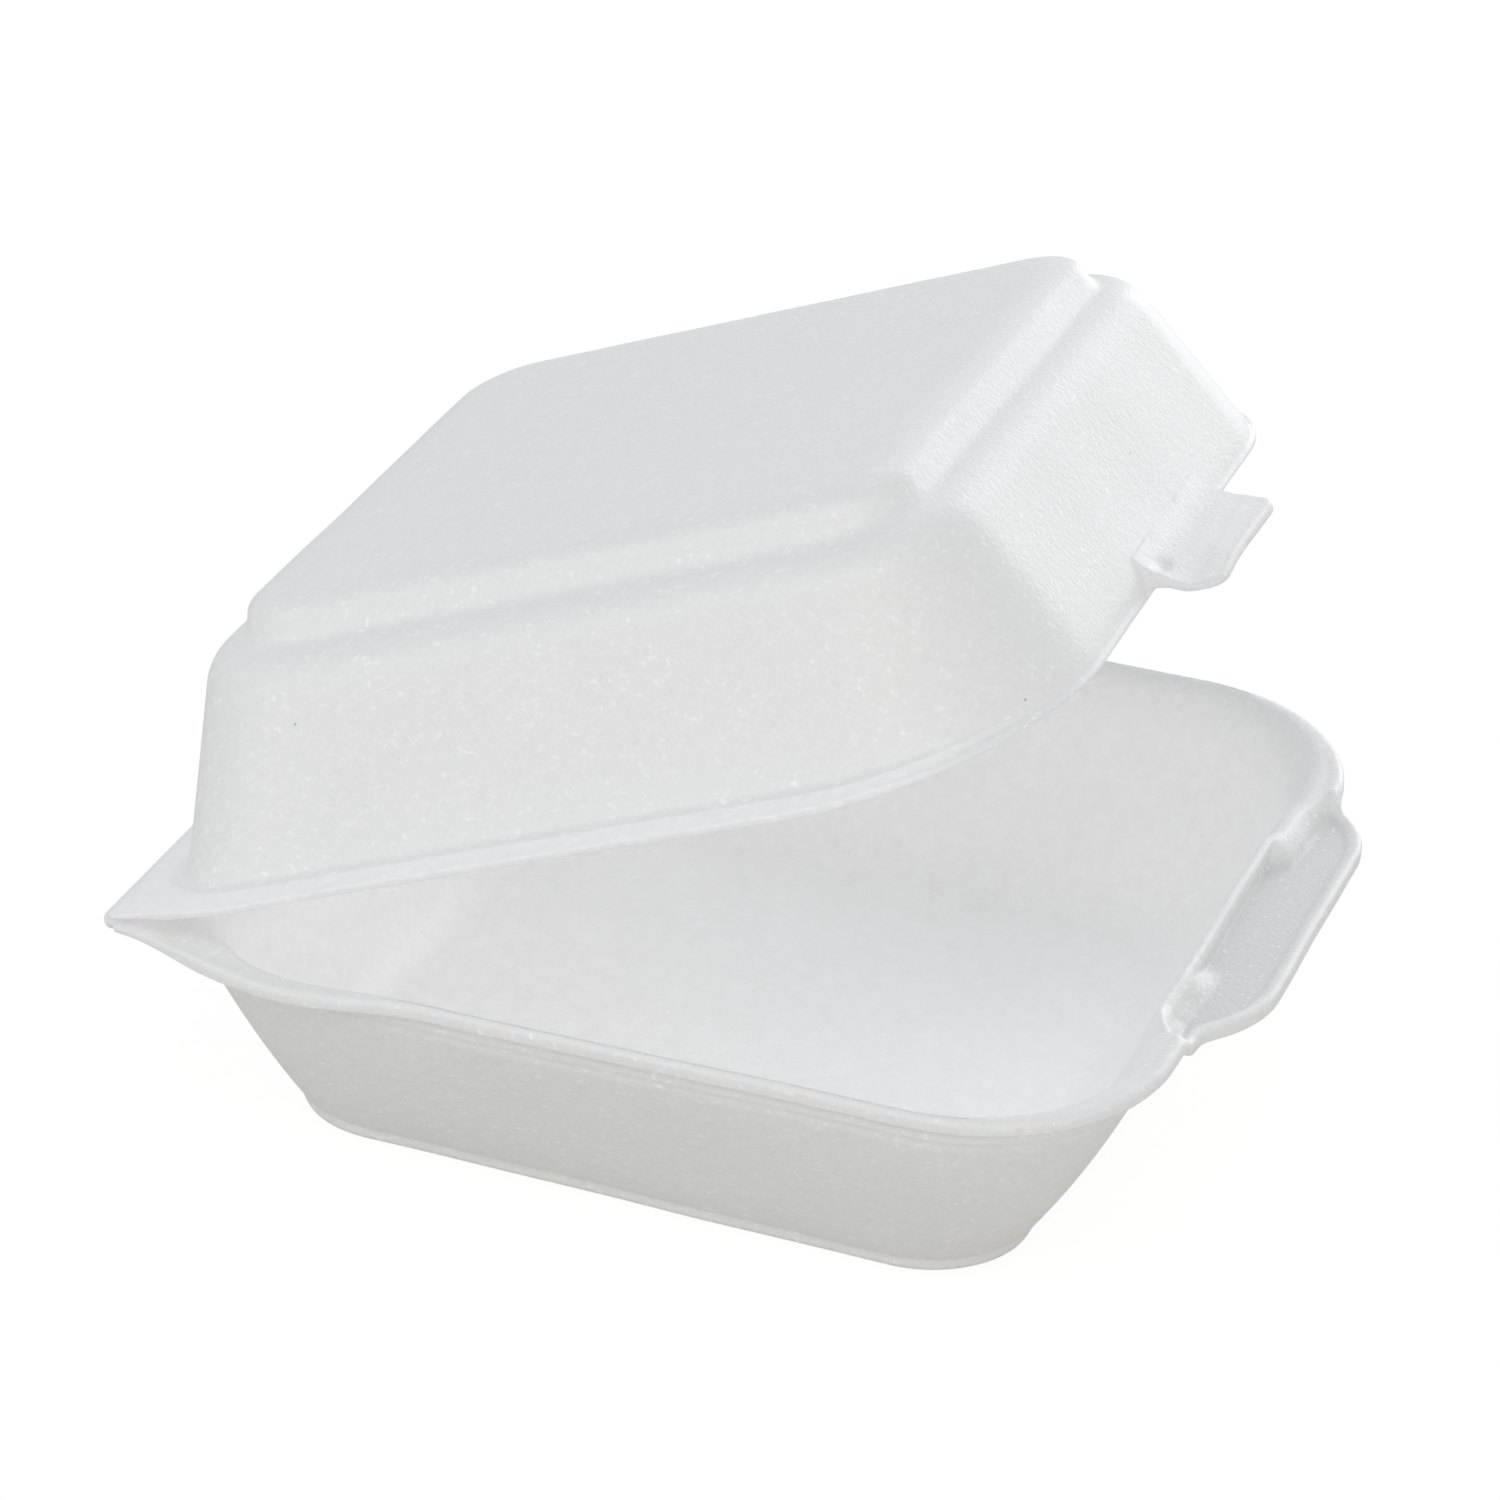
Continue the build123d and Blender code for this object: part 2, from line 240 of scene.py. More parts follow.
def skin(name, rings, painted_glow_and_shade=None):
    """One closed mesh from a grid of rings, from pole to pole; ring by ring and column by
    column, four neighbours make a face. The painted glow and shade is kept as a value of
    each point, for the foam's shader."""
    rings = settle(rings)
    count, columns = rings.shape[:2]
    index = np.arange(count * columns).reshape(count, columns)
    beside = np.roll(index, -1, axis=1)
    first_pole = count * columns
    last_pole = first_pole + 1
    points = np.concatenate([
        rings.reshape(-1, 3), rings[0].mean(axis=0)[None], rings[-1].mean(axis=0)[None],
    ])
    faces = [
        np.stack([index[:-1], beside[:-1], beside[1:], index[1:]], axis=-1).reshape(-1, 4),
        np.stack([index[0], np.full(columns, first_pole), beside[0]], axis=-1),
        np.stack([index[-1], beside[-1], np.full(columns, last_pole)], axis=-1),
    ]
    mesh = bpy.data.meshes.new(name)
    corners = np.concatenate([block.reshape(-1) for block in faces])
    sizes = np.concatenate([np.full(len(block), block.shape[1]) for block in faces])
    mesh.vertices.add(len(points))
    mesh.vertices.foreach_set("co", (points * MM).astype(np.float32).reshape(-1))
    mesh.loops.add(len(corners))
    mesh.loops.foreach_set("vertex_index", corners.astype(np.int32))
    mesh.polygons.add(len(sizes))
    mesh.polygons.foreach_set("loop_start", (np.cumsum(sizes) - sizes).astype(np.int32))
    mesh.polygons.foreach_set("use_smooth", np.ones(len(sizes), bool))
    mesh.update(calc_edges=True)
    mesh.validate()
    if painted_glow_and_shade is not None:
        poles = [painted_glow_and_shade[0].mean(keepdims=True), painted_glow_and_shade[-1].mean(keepdims=True)]
        values = np.concatenate([painted_glow_and_shade.reshape(-1)] + poles).astype(np.float32)
        mesh.attributes.new("painted_glow_and_shade", "FLOAT", "POINT").data.foreach_set("value", values)
    piece = bpy.data.objects.new(name, mesh)
    bpy.context.scene.collection.objects.link(piece)
    print(name, "faces:", len(mesh.polygons), "vertices:", len(mesh.vertices))
    return piece


# %% [markdown]
# ## The tray's wall
# The wall leans outwards and swells a little on the way up, as foam does when it is drawn
# over a mould. Three outlines hold it: the foot, one half way up, and the one under the
# rim. A curve of the second degree through the three gives every level between.

# %% Tray wall
FOOT_HALF = 56.8
FOOT_CORNER = 16
TRAY_FRONT = FOLD_Y + FOOT_HALF
TRAY_BACK = FOLD_Y - FOOT_HALF
ACROSS = 2.62  # thickness of the leaning wall, measured level
STEP_HEIGHT = 2.4  # the small step round the foot
STEP_WIDTH = 0.6
MIDDLE_HEIGHT = 16.25
WALL_SWELL = 1.2
FLOOR_ROUND = 6.0  # the floor turns up into the wall over this width


def foot_ring(height, grow):
    """Outline near the foot at a height above the table, grown by a width."""
    bend = FOOT_CORNER + grow
    plan = outline(FOOT_HALF + grow, TRAY_FRONT + grow, TRAY_BACK - grow, bend, bend, bend)
    return leaf_points(plan, 0, 0, lift=height)


def middle_ring(grow):
    """Outline half way up the wall, grown by a width."""
    plan = outline(65 + grow, 142 + grow, 13.2 - grow, 21 + grow, 21 + grow, 21 + grow)
    return leaf_points(plan, 0, TRAY_TILT / 2, lift=MIDDLE_HEIGHT)


def wall_level(low, middle, high, share):
    """Level of a wall at a share of its height: the parabola through three rings, each
    weighted by how near the share is to 0, one half and 1."""
    share = np.asarray(share)[..., None]
    return (
        low * 2 * (share - 0.5) * (share - 1)
        + middle * 4 * share * (1 - share)
        + high * 2 * share * (share - 0.5)
    )


# The neck is where the wall's outside ends, the crest where the rim's top begins.
CREST_FRONT = 147.2
neck_plan = outline(half=73.2, front=150.2, back=6.2, near=26, far=26, rear=26)
crest_plan = outline(half=71.8, front=CREST_FRONT, back=9.1, near=24.6, far=24.6, rear=24.6)
neck_width = reach(crest_plan, neck_plan)
plain_width = reach(crest_plan, tray_rim)
print("rim width from", round(plain_width.min(), 2), "to", round(plain_width.max(), 2))

# %% [markdown]
# ## The rim of the tray
# Across the rim the sheet rises from the inner wall over a soft crest, dips into a shallow
# groove, and ends in a rounded lip. In front there is room for the whole shape; at the
# sides the rim is so narrow that only crest and lip are left. The notch for the lid's tab
# is a stretch where the same rim is pressed down by the height of the catch.

# %% Width of the rim with the flap
CATCH_X = 6.5
NOTCH_DROP = 3.4
NOTCH_HALF = 18
NOTCH_NEAR = CATCH_X - NOTCH_HALF
NOTCH_FAR = CATCH_X + NOTCH_HALF
FLAP_FRONT = 160.95
FLAP_NEAR, NEAR_ROUND = -34.5, 20.0
FLAP_FAR, FAR_ROUND = 47.5, 17.0


def ease(value, start, end):
    """0 before start, 1 after end, and an S-shaped way between: 3t squared less 2t cubed."""
    t = np.clip((value - start) / (end - start), 0, 1)
    return t * t * (3 - 2 * t)


step_x = crest_plan[:, 0]
in_front = crest_plan[:, 1] > CREST_FRONT - 0.1
near_side = np.clip((FLAP_NEAR + NEAR_ROUND - step_x) / NEAR_ROUND, 0, 0.999)
far_side = np.clip((step_x - FLAP_FAR + FAR_ROUND) / FAR_ROUND, 0, 0.999)
near_cut = NEAR_ROUND * (1 - np.sqrt(1 - near_side ** 2))
far_cut = FAR_ROUND * (1 - np.sqrt(1 - far_side ** 2))
flap_edge = FLAP_FRONT - near_cut - far_cut
flap_width = np.where(in_front, flap_edge - CREST_FRONT, 0)

# The wider of rim and flap, with a soft join between the two: the root of a sum of squares.
soft_join = 1.6 * in_front
apart = np.sqrt((plain_width - flap_width) ** 2 + soft_join ** 2)
rim_width = (plain_width + flap_width + apart) / 2
on_flap = ease(flap_width - plain_width, -0.5, 2.5)
# A slanted edge is crossed at an angle, so what is a millimetre across it is more along a step.
slant = 1 + on_flap * (1 / np.sqrt(1 - np.maximum(near_side, far_side) ** 2) - 1)
print("flap stands out by", round((flap_width - plain_width).max(), 2), "mm")

# %% Height of the rim's top
at_fold = ease(-FACING[:, 1], 0.2, 0.9)
lip = np.minimum(1.25, 0.42 * rim_width) * (1 - at_fold) + 0.4 * at_fold
lip = np.minimum(lip * (1 - 0.3 * on_flap), 0.5 * rim_width)
lip_run = np.minimum(lip * slant, 0.5 * rim_width)
groove_depth = 0.5 * ease(plain_width, 4.5, 6.3) * (1 - at_fold)
BEAD_RISE = 0.9

# Foot of the slope that leads down to the flap, as points of x and the distance from the crest.
slope_foot = np.interp(
    step_x,
    [-41, -38, -34, -29, -24, -19, -13, 21, 24, 27, 31, 37, 42, 46, 50],
    [9.5, 7.4, 5.2, 4.3, 4.5, 5.1, 5.2, 5.2, 5.6, 6.0, 6.3, 6.4, 7.2, 8.6, 10],
)
slope_foot = np.where(in_front, slope_foot, 30.0)
slope_run = np.interp(step_x, [-38, -30, -14, 20, 26, 34, 46], [2.8, 4.2, 4.6, 2.8, 3.4, 3.6, 2.6])


def stretch(off, on, still_on, off_again):
    """1 on a stretch of the front and 0 elsewhere, with an S-shaped way at either end."""
    return in_front * ease(step_x, off, on) * (1 - ease(step_x, still_on, off_again))


in_notch = stretch(NOTCH_NEAR - 9, NOTCH_NEAR + 1.5, NOTCH_FAR - 2.4, NOTCH_FAR + 1.2)
over_flap = stretch(-40, -33, 43, 49)
at_notch = stretch(NOTCH_NEAR - 15, NOTCH_NEAR - 8, NOTCH_FAR + 1, NOTCH_FAR + 7)
crest_run = np.minimum(0.6 * plain_width, 4.2) * (1 - at_notch) + 0.9 * at_notch
crest_run = np.minimum(crest_run, np.where(over_flap > 0, np.maximum(slope_foot - slope_run, 0.9), 30))


def pressed(distance):
    """How far the rim is pressed down, 0 to 1: wholly beyond the foot of the slope, and in
    the notch from its inner wall on. The two are joined as chances are: 1 - (1-a)(1-b)."""
    slope = ease(distance, slope_foot - slope_run, slope_foot) * over_flap
    notch = ease(distance, 1.45, 2.0) * in_notch
    return 1 - (1 - slope) * (1 - notch)


beaded = pressed(rim_width)


def across(distance, height):
    """Ring at a distance outwards from the crest and a height above the tray's leaf."""
    plan = crest_plan + FACING * np.broadcast_to(distance, (COLUMNS,))[:, None]
    return leaf_points(plan, height, TRAY_TILT)


def plate(distance):
    """Height of the rim's top: pressed down at the catch, with a shallow groove inside the
    lip, three faint ribs along the slope, which are sines, and the bead of the flap."""
    down = pressed(distance)
    from_edge = (rim_width - distance) / slant
    groove = groove_depth * np.exp(-(((distance - plain_width + 3.1) / 1.1) ** 2)) * (1 - down)
    ribs = 0.28 * np.sin(distance * 4.2) * over_flap * (1 - in_notch) * down * (1 - down)
    bead = BEAD_RISE * (1 - ease(from_edge, 0.6, 3.0)) * beaded
    return -NOTCH_DROP * down - groove + ribs + bead


drop = NOTCH_DROP * beaded - BEAD_RISE * beaded
under = -SHEET - (NOTCH_DROP - 0.6) * beaded
thinned = under + (SHEET - 0.9) * ease(-FACING[:, 1], 0.5, 0.9) * ease(rim_width, 6, 9)
neck_top = thinned - 0.2
print("columns in the notch:", int((in_notch > 0.5).sum()))

# %% [markdown]
# ## Putting the tray together
# From the middle of its underside the skin runs out over the foot, up the wall, round the
# rim and back down inside to the middle of the floor. Where it turns, a corner is rounded.

# %% Tray shell
foot_in = foot_ring(SHEET, STEP_WIDTH - ACROSS)
middle_in = middle_ring(WALL_SWELL - ACROSS)
crest = across(0, 0)
middle_out = middle_ring(WALL_SWELL)
step_out = foot_ring(STEP_HEIGHT, STEP_WIDTH)
NECK_DROP = 4.3  # the wall's outside ends this far under the rim
neck = across(neck_width, -NECK_DROP)
WALL_LENGTH = 36.0
FLOOR_SHARE = 0.19  # share of the wall's height at which the turn into the floor starts


def inner_wall(share):
    """Ring on the inside of the tray's wall."""
    return wall_level(foot_in, middle_in, crest, np.broadcast_to(share, (COLUMNS,)))


def outer_wall(share):
    """Ring on the outside of the tray's wall."""
    return wall_level(step_out, middle_out, neck, np.broadcast_to(share, (COLUMNS,)))


floor_edge = foot_ring(SHEET, STEP_WIDTH - ACROSS - FLOOR_ROUND)
rim_shares = np.concatenate([np.linspace(0.985, 0.2, 44), np.linspace(0.175, 0.02, 12)])
rim_steps = [crest_run + share * (rim_width - lip_run - crest_run) for share in rim_shares]
wall_top = 1 - 1.5 * crest_run / WALL_LENGTH
neck_bend = across(neck_width - 0.55, np.minimum(-4.75, neck_top - 0.2))
wall_end = across(neck_width - 0.05, np.minimum(-4.1, neck_top - 0.1))
under_in = across(neck_width + 0.3 * (rim_width - neck_width), thinned)
under_out = across(rim_width - 0.5, thinned)
lip_in = rim_width - lip_run
tray_rows = [
    spread(foot_ring(0, -1.0), [0.02, 0.2, 0.4, 0.6, 0.8, 0.94]),
    corner(foot_ring(0, -1.0), foot_ring(0, 0), foot_ring(1.1, 0), 5),
    corner(foot_ring(STEP_HEIGHT - 0.3, 0), foot_ring(STEP_HEIGHT, 0), foot_ring(STEP_HEIGHT, 0.2), 3),
    corner(foot_ring(STEP_HEIGHT, 0.3), step_out, outer_wall(0.03), 4),
    [outer_wall(share) for share in np.linspace(0.07, 0.93, 26)],
    corner(outer_wall(0.955), neck_bend, wall_end, 5),
    corner(across(neck_width, np.minimum(-3.8, neck_top)), across(neck_width, thinned), under_in, 5),
    between(under_in, under_out, 2),
    corner(under_out, across(rim_width, thinned), across(rim_width, thinned + 0.45), 5),
    corner(across(rim_width, -drop - lip), across(rim_width, -drop), across(lip_in, plate(lip_in)), 8),
    [across(d, plate(d)) for d in rim_steps],
    corner(across(crest_run, plate(crest_run)), crest, inner_wall(wall_top), 12),
    [inner_wall(wall_top * (1 - t) + FLOOR_SHARE * t) for t in np.linspace(0.04, 0.96, 22)],
    corner(inner_wall(FLOOR_SHARE), foot_in, floor_edge, 12),
    spread(floor_edge, [0.94, 0.85, 0.7, 0.5, 0.3, 0.12, 0.02]),
]
tray_shell = np.concatenate([np.asarray(rows) for rows in tray_rows])
print("rings in the tray's shell:", len(tray_shell))


def near_fold(points):
    """1 at the fold and 0 from 12 mm in front of it: where the painted glow is raised, in
    place of light that comes through the two thin sheets."""
    return 1 - ease(FOLD_Y - points[..., 1], 1.0, 12.0)


# Painted glow and shade of the tray: painted glow 1 on the inner faces, more near the fold,
# painted shade -1 on the pressed flap under the lid, 0 elsewhere. Ten groups of rows lie
# under the rim's top, and its steps are the next group.
UNDER_RIM = 10
FOLD_PAINTED_GLOW = 0.8
first_step = sum(len(rows) for rows in tray_rows[:UNDER_RIM])
last_step = first_step + len(rim_steps)
tray_glow_and_shade = np.zeros(tray_shell.shape[:2])
tray_glow_and_shade += ease(np.arange(len(tray_shell)), last_step + 4, last_step + 18)[:, None]
# Painted shade on the flap under the lid: a negative value that darkens its colour.
for row, distance in zip(range(first_step, last_step), rim_steps):
    tray_glow_and_shade[row] = -pressed(distance) * ease((rim_width - distance) / slant, 1.2, 3.0)
tray_glow_and_shade[first_step:] += FOLD_PAINTED_GLOW * near_fold(tray_shell[first_step:])

# %% [markdown]
# ## The bead of the fold
# Along the fold the sheet is squeezed to a thin cord of foam, about which the lid turns.

# %% Bead of the fold
def fold_bead(radius, half, rounding, columns=32):
    """A round bar along the fold: circles of full size between two ends, each closed by a
    quarter of an ellipse, whose circles grow with the sine of its turn."""
    quarter = np.radians(np.linspace(8, 90, 8))
    size = radius * np.concatenate([np.sin(quarter), np.sin(quarter[::-1])])
    end = half - rounding * (1 - np.cos(quarter))
    place = np.concatenate([-end, end[::-1]])
    angle = np.linspace(0, 2 * np.pi, columns, endpoint=False)
    y = FOLD_Y + size[:, None] * np.cos(angle)
    z = FOLD_Z + size[:, None] * np.sin(angle)
    return np.stack([np.broadcast_to(place[:, None], y.shape), y, z], axis=-1)


tray = skin("tray_skin", tray_shell, tray_glow_and_shade)
fold = skin("fold_bead", fold_bead(radius=1.4, half=FOLD_HALF - 0.5, rounding=1.5))

# %% [markdown]
# ## The lid
# The lid is a second tray, upside down and shallower. Its wall leans in to a rounded
# shoulder, a narrow ledge runs round it, and a low band lifts the flat top. The top turns
# over its edge in a wide soft curve, which is where the light catches it.

# %% Lid levels
LID_ACROSS = 2.49  # thickness of the leaning wall, measured level
LID_WALL_FOOT = 3.4
LID_WALL_SWELL = 1.1
SHOULDER = 29.6
SHOULDER_ROUND = 3.4
LEDGE = 30.8
LID_TOP = 36.5


def slip(x):
    """How far the front edge of the lid stands back: nothing at the near corner, more and
    more towards the far one."""
    return 0.017 * np.maximum(x + 45, 0)


def lid_level(plan, height):
    """Ring of the lid at a height above its leaf. In front the low part slips back, and
    the slip dies away up the wall."""
    back = slip(plan[:, 0]) * ease(plan[:, 1], 115, 146) * (1 - ease(height, 4, 26))
    return leaf_points(np.stack([plan[:, 0], plan[:, 1] - back], axis=-1), height, LID_TILT)


def lid_wall(height, across_by=0.0):
    """Ring of the leaning wall: each size goes straight from its value at the rim to its
    value at the shoulder, less the thickness of the sheet for the inside. In front the wall
    swells by a parabola of its height, most of all half way up."""
    share = (height - LID_WALL_FOOT) / (SHOULDER - LID_WALL_FOOT)

    def size(low, high):
        return low + share * (high - low) - across_by

    swell = LID_WALL_SWELL * 4 * share * (1 - share)
    plan = outline(
        half=size(68.5, 57.6), front=size(146.6, 136.2) + swell, back=9.3 + share * 6.7 + across_by,
        near=size(33.1, 19), far=size(25.1, 19), rear=size(14.1, 19),
    )
    return lid_level(plan, height)


def lid_band(half, front, back, round_by, height):
    """Ring of the upper part, with four corners alike."""
    return lid_level(outline(half, front, back, round_by, round_by, round_by), height)


flange_plan = outline(half=70.4, front=147.0, back=7.4, near=34.4, far=26.4, rear=16)
flange_width = np.maximum(reach(flange_plan, lid_rim), 0)


def flange(distance, height):
    """Ring at a distance outwards from the foot of the lid's wall."""
    return lid_level(flange_plan + FACING * np.broadcast_to(distance, (COLUMNS,))[:, None], height)


print("flange of the lid from", round(flange_width.min(), 2), "to", round(flange_width.max(), 2))

# %% Lid shell
def mix(first, last, share):
    """Ring on the straight way between two rings."""
    return first + share * (last - first)


shoulder = lid_wall(SHOULDER)
ledge = lid_band(51.1, 131.6, 22.4, 12, LEDGE)
top_edge = lid_band(48.9, 129.4, 24.6, 9.8, LID_TOP)
top_inset = lid_band(42.4, 122.9, 31.1, 6.5, LID_TOP)
inner_shoulder = lid_wall(SHOULDER - SHEET, LID_ACROSS)
inner_ledge = lid_band(48.8, 129.3, 24.7, 9.7, LEDGE - SHEET)
ceiling_edge = lid_band(46.6, 127.1, 26.9, 7.5, LID_TOP - SHEET)
ceiling = lid_band(44.6, 125.1, 28.9, 6.0, LID_TOP - SHEET)
thin = 0.15 + 0.5 * ease(-FACING[:, 1], 0.5, 0.9) * ease(flange_width, 4.5, 7)
flat = ease(flange_width, 0.9, 2.6)
edge_top = 0.8 + 0.45 * flat
edge_round = np.minimum(0.45, 0.45 * flange_width + 0.05)


def flange_top(share):
    """Ring on the top of the flange, from its edge to the foot of the wall. Where there is
    no flange the wall itself runs on down to the edge; flat blends the two."""
    distance = (1 - 0.9 * share) * flange_width - (1 - share) * edge_round
    wide = flange(distance, edge_top + 0.05 + share * (SHEET - 0.1 - edge_top))
    narrow = lid_wall(1.2 + 1.1 * share)
    return narrow + flat[:, None] * (wide - narrow)


def inner_slope(share):
    """Ring on the inside, on the straight way from the ledge out to the shoulder."""
    return mix(inner_ledge, inner_shoulder, share)


ceiling_bend = mix(ceiling_edge, inner_ledge, 0.3)
inner_high = lid_wall(SHOULDER - SHEET - 2.4, LID_ACROSS)
inner_low = lid_wall(0.15, LID_ACROSS)
inner_rim = mix(inner_low, flange(0, 0.15), 0.25)
edge_low = flange(flange_width, thin)
lid_rows = [
    spread(ceiling, [0.02, 0.12, 0.3, 0.5, 0.7, 0.88]),
    corner(ceiling, ceiling_edge, ceiling_bend, 6),
    between(ceiling_bend, inner_ledge, 3),
    corner(inner_slope(0.1), inner_slope(0.4), inner_slope(0.6), 4),
    corner(inner_slope(0.65), inner_shoulder, inner_high, 6),
    between(inner_high, lid_wall(1.0, LID_ACROSS), 12),
    corner(lid_wall(0.9, LID_ACROSS), inner_low, inner_rim, 4),
    between(inner_rim, flange(0.4 * flange_width, thin), 3),
    corner(flange(flange_width - 0.3 * edge_round, thin), edge_low, flange(flange_width, thin + 0.2), 4),
    corner(flange(flange_width, edge_top - edge_round), flange(flange_width, edge_top), flange_top(0.0), 6),
    [flange_top(share) for share in np.linspace(0.1, 0.9, 8)],
    corner(flange_top(1.0), lid_wall(SHEET), lid_wall(3.1), 8),
    between(lid_wall(3.1), lid_wall(SHOULDER - SHOULDER_ROUND), 26),
    corner(lid_wall(SHOULDER - SHOULDER_ROUND), shoulder, mix(shoulder, ledge, 0.62), 12),
    corner(mix(shoulder, ledge, 0.72), ledge, mix(ledge, top_edge, 0.24), 7),
    between(mix(ledge, top_edge, 0.24), mix(ledge, top_edge, 0.58), 3),
    corner(mix(ledge, top_edge, 0.58), top_edge, top_inset, 16),
    spread(top_inset, [0.97, 0.9, 0.8, 0.65, 0.5, 0.35, 0.2, 0.08, 0.02]),
]
lid_shell = np.concatenate([np.asarray(rows) for rows in lid_rows])
print("rings in the lid's shell:", len(lid_shell))

# Painted glow of the lid: 1 on the inner faces, more near the fold, less on the flange, 0 outside.
# The first eight groups of rows are the inside, and the next three the flange.
INSIDE, WITH_FLANGE = 8, 11
FLANGE_PAINTED_GLOW = 0.6
inner_rows = sum(len(rows) for rows in lid_rows[:INSIDE])
flange_rows = sum(len(rows) for rows in lid_rows[:WITH_FLANGE])
lid_painted_glow = np.zeros(lid_shell.shape[:2])
lid_painted_glow[:inner_rows] = 1 + FOLD_PAINTED_GLOW * near_fold(lid_shell[:inner_rows])
lid_painted_glow[inner_rows:flange_rows] = FLANGE_PAINTED_GLOW * flat

# %% [markdown]
# ## The tab
# The tab springs from the front wall, dips over the notch and points down behind the bead
# of the catch. Its top is a parabola along its length, swept up at the root where the foam
# flows out of the wall, with faint ribs and one small dent left by the mould.

# %% Tab shell
def slab(plan_at, top, bottom, roundness, insets, tilt):
    """Rings of a flat piece. plan_at(b) is its outline drawn in by b; top and bottom give
    heights from the plan. The edge is a rounded corner pair."""
    def ring(inset, height):
        plan = plan_at(inset)
        return leaf_points(plan, height(plan), tilt)

    def side(share):
        plan = plan_at(0)
        low, high = bottom(plan), top(plan)
        return leaf_points(plan, low + share * (high - low), tilt)

    rows = [ring(inset, bottom) for inset in insets[::-1]]
    rows += list(corner(ring(roundness, bottom), side(0), side(0.45), 5))
    rows += list(corner(side(0.55), side(1), ring(roundness, top), 6))
    rows += [ring(inset, top) for inset in insets]
    return np.asarray(rows)


TAB_ROOT = 144.0
TAB_PLACES = [146.0, 149.4, 156.4]
tab_over = np.polyfit(TAB_PLACES, [3.8, 2.1, -0.2], 2)
tab_under = np.polyfit(TAB_PLACES, [0.5, 0.3, -2.0], 2)


def tab_plan(inset):
    """Outline of the tab, with a wide near corner and a tight far one. Behind the root it
    is drawn together, so that no ring reaches far into the lid's wall."""
    plan = outline(
        half=16.2 - inset, front=156.2 - inset, back=142,
        near=max(7.5 - inset, 0.3), far=max(2.5 - inset, 0.3), rear=0.8,
    )
    forward = np.where(plan[:, 1] < TAB_ROOT, TAB_ROOT + 0.02 * (plan[:, 1] - TAB_ROOT), plan[:, 1])
    return np.stack([plan[:, 0] + CATCH_X, forward], axis=-1)


def sag(x, forward):
    """The near end of the tab hangs about a millimetre lower than the rest, once it is past
    the crest of the tray's rim."""
    return 0.9 * ease(-x, 2, 16) * ease(forward, 148.8, 152.0)


def tab_top(plan):
    """Parabola, plus a rise that dies away from the root, ribs as a sine, less the dent."""
    x, forward = plan[:, 0] - CATCH_X, plan[:, 1]
    root = 1.5 * np.exp(-np.maximum(forward + slip(plan[:, 0]) - 146.2, 0) / 1.0)
    ribs = 0.05 * np.sin(forward * 2.1 + 0.15 * x) * ease(forward, 147.5, 149)
    dent = 0.95 * np.exp(-((x + 12.6) / 1.8) ** 2 - ((forward - 148.2) / 1.0) ** 2)
    return np.polyval(tab_over, forward) + root + ribs - dent - sag(x, forward)


def tab_bottom(plan):
    """Parabola of the underside."""
    return np.polyval(tab_under, plan[:, 1]) - sag(plan[:, 0] - CATCH_X, plan[:, 1])


TAB_INSETS = [
    0.65, 0.8, 1.0, 1.3, 1.7, 2.1, 2.5, 2.9, 3.3, 3.8, 4.4,
    5.0, 5.6, 6.3, 7.0, 7.7, 8.4, 9.1, 9.8, 10.5, 11.2, 11.8,
]
tab_shell = slab(tab_plan, tab_top, tab_bottom, 0.5, TAB_INSETS, LID_TILT)
lid = skin("lid_skin", lid_shell, lid_painted_glow)
tab = skin("lid_tab", tab_shell)

# %% Tell the frame which body each skin belongs to
for piece, body in ((tray, "base"), (fold, "base"), (lid, "lid"), (tab, "lid")):
    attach(piece, body)
    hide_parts(body)

# %% [markdown]
# ## Shader maths as expressions
# A small class wraps a node's output, so that a sum in the code is a sum in the shader.

# %% Values of a shader
class Value:
    """One output of a node. Adding, taking away and multiplying make Math nodes."""

    def __init__(self, tree, socket):
        self.tree = tree
        self.socket = socket

    def maths(self, operation, *values):
        node = self.tree.nodes.new("ShaderNodeMath")
        node.operation = operation
        for slot, value in zip(node.inputs, values):
            put(self.tree, slot, value)
        return Value(self.tree, node.outputs[0])

    def __add__(self, other):
        return self.maths("ADD", self, other)

    def __radd__(self, other):
        return self.maths("ADD", other, self)

    def __sub__(self, other):
        return self.maths("SUBTRACT", self, other)

    def __rsub__(self, other):
        return self.maths("SUBTRACT", other, self)

    def __mul__(self, other):
        return self.maths("MULTIPLY", self, other)

    def __rmul__(self, other):
        return self.maths("MULTIPLY", other, self)


def put(tree, slot, value):
    """Links a value to a socket, or writes a number or colour on it."""
    if isinstance(value, Value):
        tree.links.new(value.socket, slot)
    else:
        slot.default_value = value


def make(tree, kind, settings=None, out=0, **values):
    """A node of a kind; underscores in a socket's name stand for spaces."""
    node = tree.nodes.new("ShaderNode" + kind)
    for name, value in (settings or {}).items():
        setattr(node, name, value)
    for name, value in values.items():
        wanted = name.replace("_", " ")
        slot = next(s for s in node.inputs if s.enabled and s.name == wanted)
        put(tree, slot, value)
    return Value(tree, node.outputs[out])


# %% [markdown]
# ## Foam skin
# The sheet is a froth of closed cells under a thin melted skin. Close up it is a fine
# pebble with a satin sheen; here and there a cell gets a painted glint, a faint glow. Three
# sizes of pebble go into the bump, and the same cells vary the colour and the roughness a
# little. A painted glow of the inner faces stands in for light coming through the thin foam.

# %% Foam material
# Colour of the painted glow on the inner faces, the flange and the fold.
PAINTED_GLOW = (0.086, 0.0855, 0.0875, 1)
# How much darker the painted shade makes the flap under the lid.
FLAP_PAINTED_SHADE = 0.19
SPECK_SIZE = 0.012
PEBBLE_DEPTH = 0.00015  # in metres


